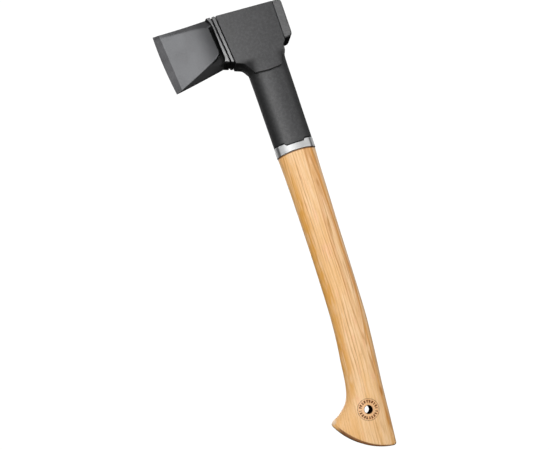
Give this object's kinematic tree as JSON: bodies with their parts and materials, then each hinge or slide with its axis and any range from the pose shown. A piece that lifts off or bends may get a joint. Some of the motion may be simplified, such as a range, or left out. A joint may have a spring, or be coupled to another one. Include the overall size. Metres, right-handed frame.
{
  "type": "splitting hatchet",
  "caption": "Short splitting hatchet: coated steel wedge head in a moulded neck casing, metal ferrule and a flared wooden handle with a hang hole.",
  "frame": {"origin": "middle of the hand grip, on the neck's axis", "axes": "+Z along the neck's axis towards the head, -X towards the cutting edge, +X towards the poll, Y across the cheeks"},
  "size_m": [0.1417, 0.036, 0.4896],
  "materials": {
    "steel": "matte black coating on the blade, bare satin steel on shoulder, strip and poll",
    "nylon": "matte moulded, dark grey",
    "satin_metal": "satin",
    "epoxy": "cured resin, hidden",
    "hickory": "oiled, light tan with long grain"
  },
  "bodies": {
    "root": {"axe_head": "steel", "neck_casing": "nylon", "ferrule": "satin_metal", "tenon_adhesive": "epoxy", "handle": "hickory"}
  },
  "joints": []
}
